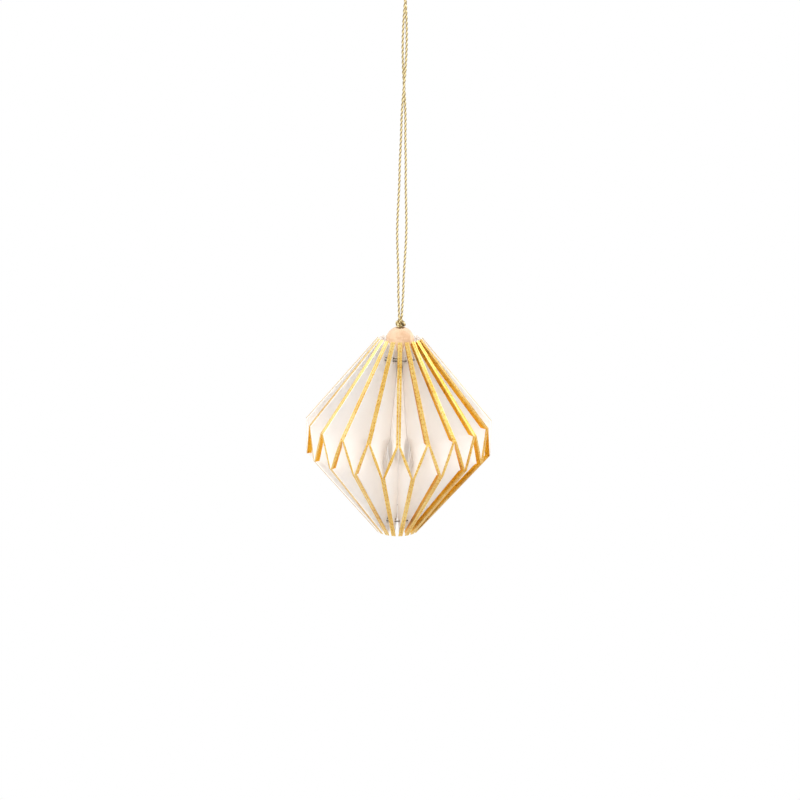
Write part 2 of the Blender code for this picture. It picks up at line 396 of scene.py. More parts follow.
# Painted reflection: the thread is dark where a ply faces squarely out from the cord and bright cream in the
# grooves between plies.
THREAD_PAINTED_REFLECTION = Finish(
    "gold_thread_painted_reflection",
    layers=(Layer(0.15, 9000.0), Layer(0.85, carried="crown")),
    stops=((0.15, srgb(252, 240, 196)), (0.5, srgb(166, 142, 96))),
    rough=(0.28, 0.45),
    bumps=((0.3, 0.03 * MM),),
    constants=(("Metallic", 0.9),),
)
STEEL = Finish(
    "drawn_steel_wire",
    layers=(Layer(1.0, 2600.0, 3.0),),
    stops=((0.35, srgb(96, 92, 90)), (0.65, srgb(150, 146, 142))),
    rough=(0.22, 0.42),
    bumps=((0.15, 0.02 * MM),),
    constants=(("Metallic", 1.0),),
)
BOARD = Finish(
    "grey_pressed_board",
    layers=(Layer(1.0, 1400.0, 5.0),),
    stops=((0.35, srgb(128, 132, 138)), (0.62, srgb(176, 180, 184))),
    rough=(0.65, 0.9),
    bumps=((0.4, 0.06 * MM),),
)
FOAM = Finish(
    "white_foam",
    layers=(Layer(1.0, 2600.0, cells=True),),
    stops=((0.1, srgb(226, 226, 224)), (0.5, srgb(246, 246, 244))),
    rough=0.8,
    bumps=((0.4, 0.05 * MM),),
)


class Rule(Tree):
    """A Geometry Nodes tree with named inputs."""

    def __init__(self, name: str, *inputs: str) -> None:
        """Start a tree with a geometry input, a geometry output and its sizes.

        Args:
            name: the tree's name.
            inputs: the name of each size, which is a plain number.
        """
        group = bpy.data.node_groups.new(name, "GeometryNodeTree")
        super().__init__(group)
        face = group.interface
        face.new_socket("Geometry", in_out="INPUT", socket_type="NodeSocketGeometry")
        self.keys = {
            title: face.new_socket(title, in_out="INPUT", socket_type="NodeSocketFloat").identifier
            for title in inputs
        }
        face.new_socket("Geometry", in_out="OUTPUT", socket_type="NodeSocketGeometry")
        self.given = self.node("NodeGroupInput")
        self.last = self.node("NodeGroupOutput")

    def size(self, name: str) -> Value:
        """One of the tree's named inputs."""
        return Value(self, self.given.outputs[name])

    def vector(self, x: Operand, y: Operand, z: Operand) -> Value:
        """A vector from three values."""
        return self.out("ShaderNodeCombineXYZ", {0: x, 1: y, 2: z})

    def scaled(self, vector: Value, factor: Operand) -> Value:
        """A vector times a value."""
        return self.out("ShaderNodeVectorMath", {0: vector, "Scale": factor}, operation="SCALE")

    def path(self) -> Value:
        """The tree's geometry as a smooth curve, in even steps of the input Spacing.

        Returns:
            The curve.
        """
        path = self.out("GeometryNodeMeshToCurve", {"Mesh": self.size("Geometry")})
        path = self.out("GeometryNodeCurveSplineType", {"Curve": path}, spline_type="CATMULL_ROM")
        sockets = {"Curve": path, "Length": self.size("Spacing")}
        return self.out("GeometryNodeResampleCurve", sockets, mode="LENGTH")

    def ring(self, sides: int, radius: Value) -> Value:
        """A round outline."""
        return self.out("GeometryNodeCurvePrimitiveCircle", {"Resolution": sides, "Radius": radius})

    def swept(self, path: Value, outline: Value) -> Value:
        """A closed bar with an outline along a path."""
        sockets = {"Curve": path, "Profile Curve": outline, "Fill Caps": True}
        return self.out("GeometryNodeCurveToMesh", sockets)

    def stored(self, shape: Value, name: str, value: Value, kind: str) -> Value:
        """A shape that carries a named attribute."""
        sockets = {"Geometry": shape, "Name": name, "Value": value}
        return self.out("GeometryNodeStoreNamedAttribute", sockets, data_type=kind)

    def named(self, name: str, kind: str) -> Value:
        """A named attribute of the shape."""
        return self.out("GeometryNodeInputNamedAttribute", {"Name": name}, data_type=kind)

    def close(self, shape: Value, *paints: tuple[Material, Union[Value, bool]]) -> None:
        """End the tree in Realize Instances and its materials.

        Args:
            shape: the geometry so far.
            paints: each material and the mask of its faces, or True for all.
        """
        shape = self.out("GeometryNodeRealizeInstances", {0: shape})
        for finish, where in paints:
            sockets = {"Geometry": shape, "Material": finish, "Selection": where}
            shape = self.out("GeometryNodeSetMaterial", sockets)
        self.nodes.links.new(shape.socket, self.last.inputs[0])

    def run(self, source: Object, sizes: dict[str, float]) -> Mesh:
        """Run the tree on an object and return a plain mesh.

        Args:
            source: the object that gives the tree its geometry.
            sizes: values by input name.

        Returns:
            A new mesh.
        """
        step = source.modifiers.new("rule", "NODES")
        step.node_group = self.nodes
        for name, value in sizes.items():
            step[self.keys[name]] = value
        bpy.context.view_layer.update()
        done = source.evaluated_get(bpy.context.evaluated_depsgraph_get())
        mesh = bpy.data.meshes.new_from_object(done)
        source.modifiers.remove(step)
        return mesh

    def follow(self, points: Sequence[Vector], sizes: dict[str, float]) -> Mesh:
        """Run the tree on an edge path and return a plain mesh.

        Args:
            points: the points that the path runs through.
            sizes: values by input name.

        Returns:
            A new mesh.
        """
        mesh = bpy.data.meshes.new("path")
        mesh.from_pydata([tuple(p) for p in points], [(i, i + 1) for i in range(len(points) - 1)], [])
        path = add_piece("path", mesh, smooth=False)
        made = self.run(path, sizes)
        drop(path)
        return made


def add_object(name: str, data: bpy.types.ID) -> Object:
    """Link a new object into the scene.

    Args:
        name: the object's name.
        data: its mesh, lamp or camera.

    Returns:
        The object.
    """
    made = bpy.data.objects.new(name, data)
    bpy.context.scene.collection.objects.link(made)
    return made


def add_piece(name: str, mesh: Mesh, smooth: bool = True, sharp: bool = False) -> Object:
    """Put a mesh into the scene as a named piece.

    Args:
        name: the piece's name.
        mesh: its mesh, already in place.
        smooth: whether its faces are shaded smooth.
        sharp: whether its corners stay sharp.

    Returns:
        The object.
    """
    mesh.name = name
    if smooth:
        mesh.polygons.foreach_set("use_smooth", [True] * len(mesh.polygons))
    if sharp:
        mesh.set_sharp_from_angle(angle=SHARP)
    return add_object(name, mesh)


def drop(piece: Object) -> None:
    """Remove a helper object."""
    bpy.data.objects.remove(piece, do_unlink=True)


def settle(piece: Object, node: str) -> None:
    """Hide the CAD node that a piece replaces, and report the piece.

    Args:
        piece: the piece.
        node: the CAD node that it replaces.
    """
    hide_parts(node)
    LOG.info("built %s: %d faces", piece.name, len(piece.data.polygons))


@dataclass
class LeafProfile:
    """The flat outline of one leaf, in radius and height from the equator."""

    equator_radius: float = 35.5 * MM
    waist_half_height: float = 6.2 * MM
    waist_depth: float = 15.5 * MM
    waist_inner_half_height: float = 4.9 * MM
    tip_radius: float = 8.3 * MM
    tip_height: float = 38.7 * MM
    tip_cut: float = math.radians(51.0)
    width: float = 7.6 * MM
    thickness: float = 0.4 * MM
    glue_gap: float = 0.1 * MM
    hole_from_tip: float = 5.6 * MM
    hole_radius: float = 1.5 * MM
    count: int = 40
    search_from: Flat = (0.15, 0.5)
    search_rounds: int = 12
    search_step: float = 1e-4

    def __post_init__(self) -> None:
        """Work out the corners from the sizes."""
        self.step = TURN / self.count
        self.front = self.count // 2
        lean = math.atan2(self.equator_radius - self.tip_radius, self.tip_height - self.waist_half_height)
        self.down = Vector((math.sin(lean), -math.cos(lean)))
        self.inward = Vector((-math.cos(lean), -math.sin(lean)))
        self.outer_tip = Vector((self.tip_radius, self.tip_height))
        self.outer_waist = Vector((self.equator_radius, self.waist_half_height))
        self.inner_waist = Vector((self.equator_radius - self.waist_depth, self.waist_inner_half_height))
        cut = self.width / math.cos(self.tip_cut - lean)
        self.inner_tip = self.outer_tip - cut * Vector((math.cos(self.tip_cut), math.sin(self.tip_cut)))
        self.hole = self.outer_tip + self.down * self.hole_from_tip + self.inward * (self.width / 2)

    def reach(self, radius: float) -> float:
        """How far a leaf's middle surface leans to a side at a radius."""
        half = self.step / 2
        return radius * math.tan(half) - self.thickness / 2 - self.glue_gap / 2 / math.cos(half)

    def edges(self, along: float) -> tuple[Vector, Vector, float]:
        """The outer point, the inner point and the lean at a place along the leaf.

        Args:
            along: 0 at the upper tip, 1 and 2 at the waist's corners, 3 at the lower tip.

        Returns:
            Outer point, inner point, and the lean from 1 above the waist to -1 below it.
        """
        if along <= 1.0:
            inner = self.inner_tip.lerp(self.inner_waist, along)
            return self.outer_tip.lerp(self.outer_waist, along), inner, 1.0
        if along >= 2.0:
            outer, inner, _ = self.edges(3.0 - along)
            return Vector((outer.x, -outer.y)), Vector((inner.x, -inner.y)), -1.0
        lean = 3.0 - 2.0 * along
        outer = Vector((self.outer_waist.x, lean * self.outer_waist.y))
        inner = Vector((self.inner_waist.x, lean * self.inner_waist.y))
        return outer, inner, lean

    def point(self, along: float, inwards: float) -> Vector:
        """A point of the leaf's middle surface as radius, side and height.

        Args:
            along: the place along the leaf, from 0 to 3.
            inwards: the share from the outer to the inner edge.

        Returns:
            The point.
        """
        outer, inner, lean = self.edges(along)
        flat = outer.lerp(inner, inwards)
        side = lean * ((1.0 - inwards) * self.reach(outer.x) - inwards * self.reach(inner.x))
        return Vector((flat.x, side, flat.y))

    def locate(self, flat: Vector) -> Flat:
        """Find the place along and across the upper arm of a flat point.

        Args:
            flat: radius and height.

        Returns:
            The place along and the share inwards.
        """
        along, inwards = self.search_from
        step = self.search_step
        for _ in range(self.search_rounds):
            here = self.point(along, inwards)
            miss = Vector((flat.x - here.x, flat.y - here.z))
            ahead, beside = self.point(along + step, inwards), self.point(along, inwards + step)
            slopes = Matrix(
                (
                    ((ahead.x - here.x) / step, (beside.x - here.x) / step),
                    ((ahead.z - here.z) / step, (beside.z - here.z) / step),
                )
            )
            move = slopes.inverted() @ miss
            along, inwards = along + move.x, inwards + move.y
        return along, inwards

    def fold_share(self, point: Vector) -> float:
        """How far a middle point turns from the first glue plane to the second when the leaf folds flat.

        Args:
            point: radius, side and height.

        Returns:
            The share from 0 to 1.
        """
        half = self.step / 2
        pitch = self.thickness + self.glue_gap
        hinge = pitch / (2.0 * math.sin(half))
        out = point.x * math.cos(half) - point.y * math.sin(half)
        side = point.x * math.sin(half) + point.y * math.cos(half)
        turn = math.atan2(side - pitch / 2, out - hinge * math.cos(half))
        return min(max(turn / self.step, 0.0), 1.0)


@dataclass
class LeafFan:
    """Forty gilded card leaves that stand round the axis and fold flat."""

    profile: LeafProfile = field(default_factory=LeafProfile)
    card: Finish = CARD
    foil: Finish = GILT
    # The deep foil copy on the lapped faces: painted shaded reflection.
    margin_and_painted_shade: Finish = MARGIN_AND_PAINTED_SHADE
    gilt_narrow: float = 0.7 * MM
    gilt_wide: float = 1.8 * MM
    corner_gilt: float = 1.25
    corner_run: float = 0.3
    rim_swell: float = 0.07 * MM
    rim_lip: float = 0.4 * MM
    hole_block: float = 1.8 * MM
    tip_rows: Triple = (0.0, 0.4, 0.75)
    arm_end: float = 0.985
    arm_cells: int = 16
    waist_cells: int = 14
    inner_column: float = 0.9
    narrow_from: float = math.radians(-27.0)
    wide_from: float = math.radians(9.0)
    wide_to: float = math.radians(81.0)
    equator: float = EQUATOR

    def __post_init__(self) -> None:
        """Start with no pattern."""
        self.places: list[Vector] = []
        self.sides: list[float] = []
        self.depths: list[float] = []
        self.faces: list[tuple[int, ...]] = []
        self.gilt: list[float] = []
        self.sheet: dict[Pair, Pair] = {}

    @staticmethod
    def _block(middle: float, spread: float) -> list[float]:
        """The even places round the hole that its block of cells has."""
        half = HOLE_CELLS // 2
        return [middle + spread * (i - half) / half for i in range(HOLE_CELLS + 1)]

    def _rows(self) -> list[float]:
        """Work out where along the leaf the mesh has rows.

        Returns:
            The places along the leaf, from 0 to 3.
        """
        middle, _ = self.profile.locate(self.profile.hole)
        spread = self.hole_block / (self.profile.outer_waist - self.profile.outer_tip).length
        first = [share * (middle - spread) for share in self.tip_rows]
        block = self._block(middle, spread)
        run = self.arm_end - block[-1]
        rest = [block[-1] + run * (i + 1) / self.arm_cells for i in range(self.arm_cells)]
        upper = first + block + rest + [1.0]
        waist = [1.0 + (i + 1) / self.waist_cells for i in range(self.waist_cells)]
        lower = [3.0 - along for along in reversed(upper[:-1])]
        return upper + waist + lower

    def _columns(self, place: float) -> list[float]:
        """Work out where across one row the mesh has columns.

        Args:
            place: the row's place along the leaf.

        Returns:
            The shares inwards.
        """
        along = min(place, 3.0 - place)
        outer, inner, _ = self.profile.edges(along)
        normal = self.profile.inward if along < 1.0 else Vector((-1.0, 0.0))
        deep = (inner - outer).dot(normal)
        turned = (place - 1.0) / self.corner_run
        corner = 1.0 - ease(turned) if 0.0 <= turned < 1.0 else 0.0
        wide = self.gilt_wide + (self.gilt_narrow * self.corner_gilt - self.gilt_wide) * corner
        _, middle = self.profile.locate(self.profile.hole)
        block = self._block(middle, self.hole_block / self.profile.width)
        return [0.0, self.gilt_narrow / deep, wide / deep, *block, self.inner_column, 1.0]

    def _add(self, place: Vector, middle: Vector, depth: float) -> int:
        """Add one point of the pattern.

        Args:
            place: where it is.
            middle: the point of the middle surface that it folds with.
            depth: its share from the outer to the inner edge.

        Returns:
            The point's number.
        """
        self.places.append(place)
        self.sides.append(self.profile.fold_share(middle))
        self.depths.append(depth)
        return len(self.places) - 1

    def _pair(self, point: Vector, depth: float, lean: Optional[float] = None) -> Pair:
        """Add the two face points over one middle point; a foil lip presses flat as the leaf folds.

        Args:
            point: the point of the middle surface.
            depth: its share from the outer to the inner edge.
            lean: the leaf's lean where the foil lip thickens its faces that touch no neighbour.

        Returns:
            The numbers of the two points.
        """
        half = self.profile.thickness / 2
        lips = (0.0, 0.0) if lean is None else (min(1.0, 1.0 - lean), min(1.0, 1.0 + lean))
        made = []
        for sign, lip in zip((1.0, -1.0), lips):
            bulged = point + Vector((0.0, sign * self.rim_lip * lip, 0.0))
            made.append(self._add(bulged + Vector((0.0, sign * half, 0.0)), bulged, depth))
        return made[0], made[1]

    def _face(self, corners: tuple[int, ...], gilt: Gilt = Gilt.NONE) -> None:
        """Add one face."""
        self.faces.append(corners)
        self.gilt.append(gilt.value)

    def _skin(self, loop: Sequence[Pair], upper: Gilt = Gilt.NONE, lower: Gilt = Gilt.NONE) -> None:
        """Add a cell's two faces from its four pairs, going round."""
        self._face(tuple(pair[0] for pair in loop), upper)
        self._face(tuple(pair[1] for pair in reversed(loop)), lower)

    def _wall(self, loop: Sequence[Pair]) -> None:
        """Add plain card faces between both skins along a row of pairs."""
        for near, far in zip(loop, loop[1:]):
            self._face((near[0], near[1], far[1], far[0]))

    def _punch(self, top: int, left: int, upper: bool) -> set[Pair]:
        """Put a round wire hole in a block of cells.

        Args:
            top: the block's first row.
            left: the block's first column.
            upper: whether it is the upper arm's hole.

        Returns:
            The cells that the hole's ring replaces.
        """
        low, right = top + HOLE_CELLS, left + HOLE_CELLS
        border = [(top, j) for j in range(left, right)]
        border += [(i, right) for i in range(top, low)]
        border += [(low, j) for j in range(right, left, -1)]
        border += [(i, left) for i in range(low, top, -1)]
        hole = self.profile.hole
        ring = []
        for key in border:
            corner = self.places[self.sheet[key][0]]
            away = Vector((corner.x, abs(corner.z))) - hole
            along, inwards = self.profile.locate(hole + away.normalized() * self.profile.hole_radius)
            ring.append(self._pair(self.profile.point(along if upper else 3.0 - along, inwards), inwards))
        around = [self.sheet[key] for key in border]
        for i, here in enumerate(ring):
            j = (i + 1) % len(ring)
            self._skin([around[i], around[j], ring[j], here])
            self._face((here[0], ring[j][0], ring[j][1], here[1]))
        return {(i, j) for i in range(top, low) for j in range(left, right)}

    def _rim(self, rows: Sequence[float]) -> None:
        """Close the gilded outer edge with a slight swell.

        Args:
            rows: the places along the leaf that the mesh has rows at.
        """
        crest = []
        for along in rows:
            outer, inner, _ = self.profile.edges(along)
            point = self.profile.point(along, 0.0)
            away = (outer - inner).normalized() * self.rim_swell
            crest.append(self._add(point + Vector((away.x, 0.0, away.y)), point, 0.0))
        for i in range(len(rows) - 1):
            near, far = self.sheet[i, 0], self.sheet[i + 1, 0]
            self._face((near[0], far[0], crest[i + 1], crest[i]), Gilt.EDGE)
            self._face((crest[i], crest[i + 1], far[1], near[1]), Gilt.EDGE)
        for i in (0, len(rows) - 1):
            self._face((self.sheet[i, 0][0], crest[i], self.sheet[i, 0][1]))

    def _pattern(self) -> Object:
        """Draw one leaf that leans in its sector, with holes and a swollen gilded rim.

        Returns:
            The pattern, which carries the foil's mask and the share inwards.
        """
        rows = self._rows()
        for i, along in enumerate(rows):
            for j, inwards in enumerate(self._columns(along)):
                lean = self.profile.edges(along)[2] if j == 0 else None
                self.sheet[i, j] = self._pair(self.profile.point(along, inwards), inwards, lean)
        sheet, last_row, last_column = self.sheet, len(rows) - 1, len(self._columns(0.0)) - 1
        top = left = len(self.tip_rows)
        gone = self._punch(top, left, True) | self._punch(last_row - top - HOLE_CELLS, left, False)
        for i in range(last_row):
            for j in range(last_column):
                if (i, j) not in gone:
                    loop = [sheet[i, j], sheet[i, j + 1], sheet[i + 1, j + 1], sheet[i + 1, j]]
                    self._skin(loop, *FOIL.get((j, 1.0 <= rows[i] < 2.0), BARE))
        self._wall([sheet[i, last_column] for i in range(last_row + 1)])
        self._wall([sheet[0, j] for j in range(last_column + 1)])
        self._wall([sheet[last_row, j] for j in range(last_column, -1, -1)])
        self._rim(rows)
        mesh = bpy.data.meshes.new("leaf_pattern")
        mesh.from_pydata([place + upright(self.equator) for place in self.places], [], self.faces)
        mesh.attributes.new("gilt", "FLOAT", "FACE").data.foreach_set("value", self.gilt)
        # The share inwards drives the card's painted light at the inner edge.
        mesh.attributes.new("inward", "FLOAT", "POINT").data.foreach_set("value", self.depths)
        whole = bmesh.new()
        whole.from_mesh(mesh)
        bmesh.ops.recalc_face_normals(whole, faces=whole.faces)
        whole.to_mesh(mesh)
        whole.free()
        return add_piece("leaf_pattern", mesh)

    def _lap_and_painted_light_at(self, azimuth: float) -> FoilLapAndPaintedLight:
        """How far the foil laps over the faces of the leaf at an azimuth, as the photograph shows.
        It is painted light: on the left-hand and back leaves the lap stays white card as a painted highlight,
        and on the right-hand leaves it is wide deep foil as painted shaded reflection.
        """
        less = FoilLapAndPaintedLight.NARROW if self.narrow_from < azimuth < self.wide_from else FoilLapAndPaintedLight.NONE
        return FoilLapAndPaintedLight.WIDE if self.wide_from <= azimuth < self.wide_to else less

    def _rule(self) -> Rule:
        """The tree that turns the pattern to its place, mirrored where its hand is the other.

        Returns:
            The tree, with the inputs Turn, Hand and Spill.
        """
        rule = Rule("stand_leaf", "Turn", "Hand", "FoilLapAndPaintedLight")

        def compare(operation: str, first: Value, second: Operand) -> Value:
            """Where a comparison of two values holds."""
            return rule.out("FunctionNodeCompare", {0: first, 1: second}, operation=operation)

        def joined(operation: str, first: Value, second: Value) -> Value:
            """Where both or either of two masks hold."""
            return rule.out("FunctionNodeBooleanMath", {0: first, 1: second}, operation=operation)

        hand, lap_and_painted_light, gilded = rule.size("Hand"), rule.size("FoilLapAndPaintedLight"), rule.named("gilt", "FLOAT")
        mirror = {"Geometry": rule.size("Geometry"), "Scale": rule.vector(1.0, hand, 1.0)}
        mirrored = rule.out("GeometryNodeTransform", mirror)
        other = compare("LESS_THAN", hand, 0.0)
        facing = rule.out("GeometryNodeFlipFaces", {"Mesh": mirrored, "Selection": other})
        turn = rule.vector(0.0, 0.0, rule.size("Turn"))
        placed = rule.out("GeometryNodeTransform", {"Geometry": facing, "Rotation": turn})
        # Painted highlight and shade: the lap by azimuth decides where the faces stay white card, take bright
        # foil or take the deep foil copy.
        lapped = compare("GREATER_THAN", lap_and_painted_light, FoilLapAndPaintedLight.NONE.value)
        near = joined("AND", compare("EQUAL", gilded, Gilt.NEAR.value), lapped)
        edge = joined("OR", compare("EQUAL", gilded, Gilt.EDGE.value), near)
        wide = compare("GREATER_THAN", lap_and_painted_light, FoilLapAndPaintedLight.NARROW.value)
        arms = joined("AND", compare("EQUAL", gilded, hand), wide)
        deep_foil_and_shade_mask = joined("OR", compare("EQUAL", gilded, Gilt.WAIST.value), arms)
        card, foil, margin_and_painted_shade = (finish.make() for finish in (self.card, self.foil, self.margin_and_painted_shade))
        rule.close(placed, (card, True), (margin_and_painted_shade, deep_foil_and_shade_mask), (foil, edge))
        return rule

    def carrier(self, plane: int) -> str:
        """The body that carries a glue plane, numbered from the closing seam."""
        leaf = plane if plane > self.profile.front else plane + 1
        return "rings" if plane == self.profile.front else f"leaf_{leaf:02d}"

    def build(self) -> None:
        """Build, dress and attach every leaf."""
        pattern, rule = self._pattern(), self._rule()
        radius, half = self.profile.equator_radius, self.profile.step / 2
        for leaf in range(1, self.profile.count + 1):
            hand = Gilt.LEFT if leaf % 2 == 0 else Gilt.RIGHT
            azimuth = (leaf - 0.5 - self.profile.front) * self.profile.step
            sizes = {"Turn": azimuth - math.pi / 2, "Hand": hand.value, "FoilLapAndPaintedLight": self._lap_and_painted_light_at(azimuth).value}
            mesh = rule.run(pattern, sizes)
            piece = add_piece(f"card_leaf_{leaf:02d}", mesh, sharp=True)
            start, end = across(azimuth - half) * radius, across(azimuth + half) * radius
            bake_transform(piece, self.carrier(leaf - 1), self.carrier(leaf), start=tuple(start), end=tuple(end))
            shares = self.sides if hand is Gilt.LEFT else [1.0 - share for share in self.sides]
            mesh.attributes["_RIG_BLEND"].data.foreach_set("value", shares)
            settle(piece, f"leaf_{leaf:02d}")
        drop(pattern)


@dataclass
class WireRings:
    """Two thin wires through the leaves' holes, with lapped ends."""

    profile: LeafProfile = field(default_factory=LeafProfile)
    finish: Finish = STEEL
    diameter: float = 0.5 * MM
    sides: int = 16
    spacing: float = 0.35 * MM
    turns: float = 1.25
    pitch: float = 1.0 * MM
    start: float = math.radians(-92.0)
    points: int = 120
    keep: float = 0.05
    equator: float = EQUATOR

    def _rule(self) -> Rule:
        """The tree that sweeps a round bar along a path.

        Returns:
            The tree, with the inputs Diameter and Spacing.
        """
        rule = Rule("round_bar", "Diameter", "Spacing")
        bar = rule.swept(rule.path(), rule.ring(self.sides, rule.size("Diameter") / 2.0))
        rule.close(bar, (self.finish.make(), True))
        return rule

    def route(self, half: Half) -> list[Vector]:
        """Draw a wire's centre line.

        Args:
            half: the end of the leaves that it is threaded through.

        Returns:
            Points along the wire.
        """
        hole, found = self.profile.hole, []
        for i in range(self.points + 1):
            turn = self.turns * i / self.points
            height = half.value * hole.y + (turn - self.turns / 2) * self.pitch + self.equator
            found.append(across(self.start + TURN * turn) * hole.x + upright(height))
        return found

    def build(self) -> None:
        """Build, dress and attach both rings."""
        rule, hole = self._rule(), self.profile.hole
        for half in Half:
            mesh = rule.follow(self.route(half), {"Diameter": self.diameter, "Spacing": self.spacing})
            node = f"{half.name.lower()}_ring"
            piece = add_piece(f"wire_{node}", mesh, sharp=True)
            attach(piece, "rings")
            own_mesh(piece)
            settle(piece, node)


def turned_mesh(profile: Sequence[Flat], steps: int, centre: Vector) -> Mesh:
    """A solid turned about an upright axis from a closed outline.

    Args:
        profile: radius and height of each corner.
        steps: how many sides it has.
        centre: where its axis and its zero height are.

    Returns:
        The mesh.
    """
    rings = []
    solid = bmesh.new()
    for i in range(steps):
        out = across(TURN * i / steps)
        rings.append([solid.verts.new(centre + out * radius + upright(height)) for radius, height in profile])
    for near, far in zip(rings, rings[1:] + rings[:1]):
        for i in range(len(profile)):
            j = (i + 1) % len(profile)
            solid.faces.new((near[i], near[j], far[j], far[i]))
    bmesh.ops.recalc_face_normals(solid, faces=solid.faces)
    mesh = bpy.data.meshes.new("turned")
    solid.to_mesh(mesh)
    solid.free()
    return mesh


@dataclass
class Turned:
    """A piece that is turned about the cord."""

    name: str
    node: str
    body: str
    slot: Slot
    finish: Finish
    radius: float
    bore: float
    sharp: bool = False
    steps: int = 96

    def outline(self, half: float) -> list[Flat]:
        """Radius and height of each corner, from half the CAD node's height."""
        raise NotImplementedError

    def build(self) -> None:
        """Build, dress and attach the piece."""
        low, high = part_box(self.node)
        outline = self.outline((high[2] - low[2]) / 2)
        mesh = turned_mesh(outline, self.steps, upright((low[2] + high[2]) / 2))
        mesh.materials.append(self.finish.make())
        piece = add_piece(self.name, mesh, sharp=self.sharp)
        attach(piece, self.body)
        settle(piece, self.node)


@dataclass
class WoodenBead(Turned):
    """The round bead in the funnel of the leaf tips."""

    name: str = "turned_bead"
    node: str = "wooden_bead"
    body: str = "bead"
    slot: Slot = Slot.WOOD
    finish: Finish = WOOD
    radius: float = 5.4 * MM
    bore: float = 1.5 * MM
    lip: float = 0.45 * MM
    arc_cells: int = 48
    lip_cells: int = 6

    def outline(self, half: float) -> list[Flat]:
        """Draw the bead's outline with softened lips at the bore.

        Args:
            half: half the CAD node's height, not needed beside the radius.

        Returns:
            Radius and height of each corner.
        """
        reach = math.acos((self.bore + self.lip) / self.radius)
        found = []
        for i in range(self.arc_cells + 1):
            angle = -reach + 2.0 * reach * i / self.arc_cells
            found.append((self.radius * math.cos(angle), self.radius * math.sin(angle)))
        top = self.radius * math.sin(reach)
        for i in range(1, self.lip_cells + 1):
            angle = math.pi / 2 * i / self.lip_cells
            height = top - self.lip * (1.0 - math.cos(angle))
            found.append((self.bore + self.lip * (1.0 - math.sin(angle)), height))
        return found + [(radius, -height) for radius, height in reversed(found[-self.lip_cells :])]


@dataclass
class StopDisc(Turned):
    """The grey board disc under the leaf tips."""

    name: str = "board_disc"
    node: str = "stop_disc"
    body: str = "cord"
    slot: Slot = Slot.BOARD
    finish: Finish = BOARD
    radius: float = 6.5 * MM
    bore: float = 1.4 * MM
    sharp: bool = True
    edge: float = 0.18 * MM
    edge_cells: int = 4
    face_rings: Flat = (0.66, 0.33)

    def outline(self, half: float) -> list[Flat]:
        """Draw the disc's outline with a rounded rim.

        Args:
            half: half the disc's thickness.

        Returns:
            Radius and height of each corner.
        """
        arc = [math.pi / 2 * i / self.edge_cells for i in range(self.edge_cells + 1)]
        found = []
        for side, angles in ((-1.0, arc), (1.0, arc[::-1])):
            for angle in angles:
                out = self.radius - self.edge + self.edge * math.sin(angle)
                found.append((out, side * (half - self.edge + self.edge * math.cos(angle))))
        flat = [self.bore + (self.radius - self.bore) * share for share in (*self.face_rings, 0.0)]
        return found + [(radius, half) for radius in flat] + [(radius, -half) for radius in reversed(flat)]


@dataclass
class ClosingDot:
    """The sticky foam dot between the last and the first leaf."""

    profile: LeafProfile = field(default_factory=LeafProfile)
    finish: Finish = FOAM
    weld: float = 1e-6
    flat_angle: float = math.radians(1.0)
    rim_angle: float = math.radians(60.0)
    rim_round: float = 0.09 * MM
    rim_cells: int = 3
    equator: float = EQUATOR

    def _shares(self, mesh: Mesh) -> list[float]:
        """Work out how far each point turns with the last leaf's middle surface under it.

        Args:
            mesh: the dot's mesh.

        Returns:
            The share of each point.
        """
        out = across((self.profile.count - 0.5 - self.profile.front) * self.profile.step)
        found = []
        for vertex in mesh.vertices:
            flat = Vector((vertex.co.dot(out), vertex.co.z - self.equator))
            found.append(self.profile.fold_share(self.profile.point(*self.profile.locate(flat))))
        return found

    def build(self) -> None:
        """Soften the rim of the dot's own solid, dress it and attach it."""
        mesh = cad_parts["closing_dot"].data.copy()
        solid = bmesh.new()
        solid.from_mesh(mesh)
        bmesh.ops.remove_doubles(solid, verts=solid.verts, dist=self.weld)
        bmesh.ops.dissolve_limit(solid, angle_limit=self.flat_angle, verts=solid.verts, edges=solid.edges)
        rim = [edge for edge in solid.edges if edge.calc_face_angle(0.0) > self.rim_angle]
        bmesh.ops.bevel(
            solid, geom=rim, offset=self.rim_round, segments=self.rim_cells, affect="EDGES", profile=0.5
        )
        solid.to_mesh(mesh)
        solid.free()
        mesh.materials.clear()
        mesh.materials.append(self.finish.make())
        piece = add_piece("foam_dot", mesh, sharp=True)
        radius, step = self.profile.equator_radius, self.profile.step
        start, end = across(math.pi - step) * radius, across(math.pi) * radius
        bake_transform(piece, "leaf_39", "leaf_40", start=tuple(start), end=tuple(end))
        mesh.attributes["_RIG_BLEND"].data.foreach_set("value", self._shares(mesh))
        settle(piece, "closing_dot")


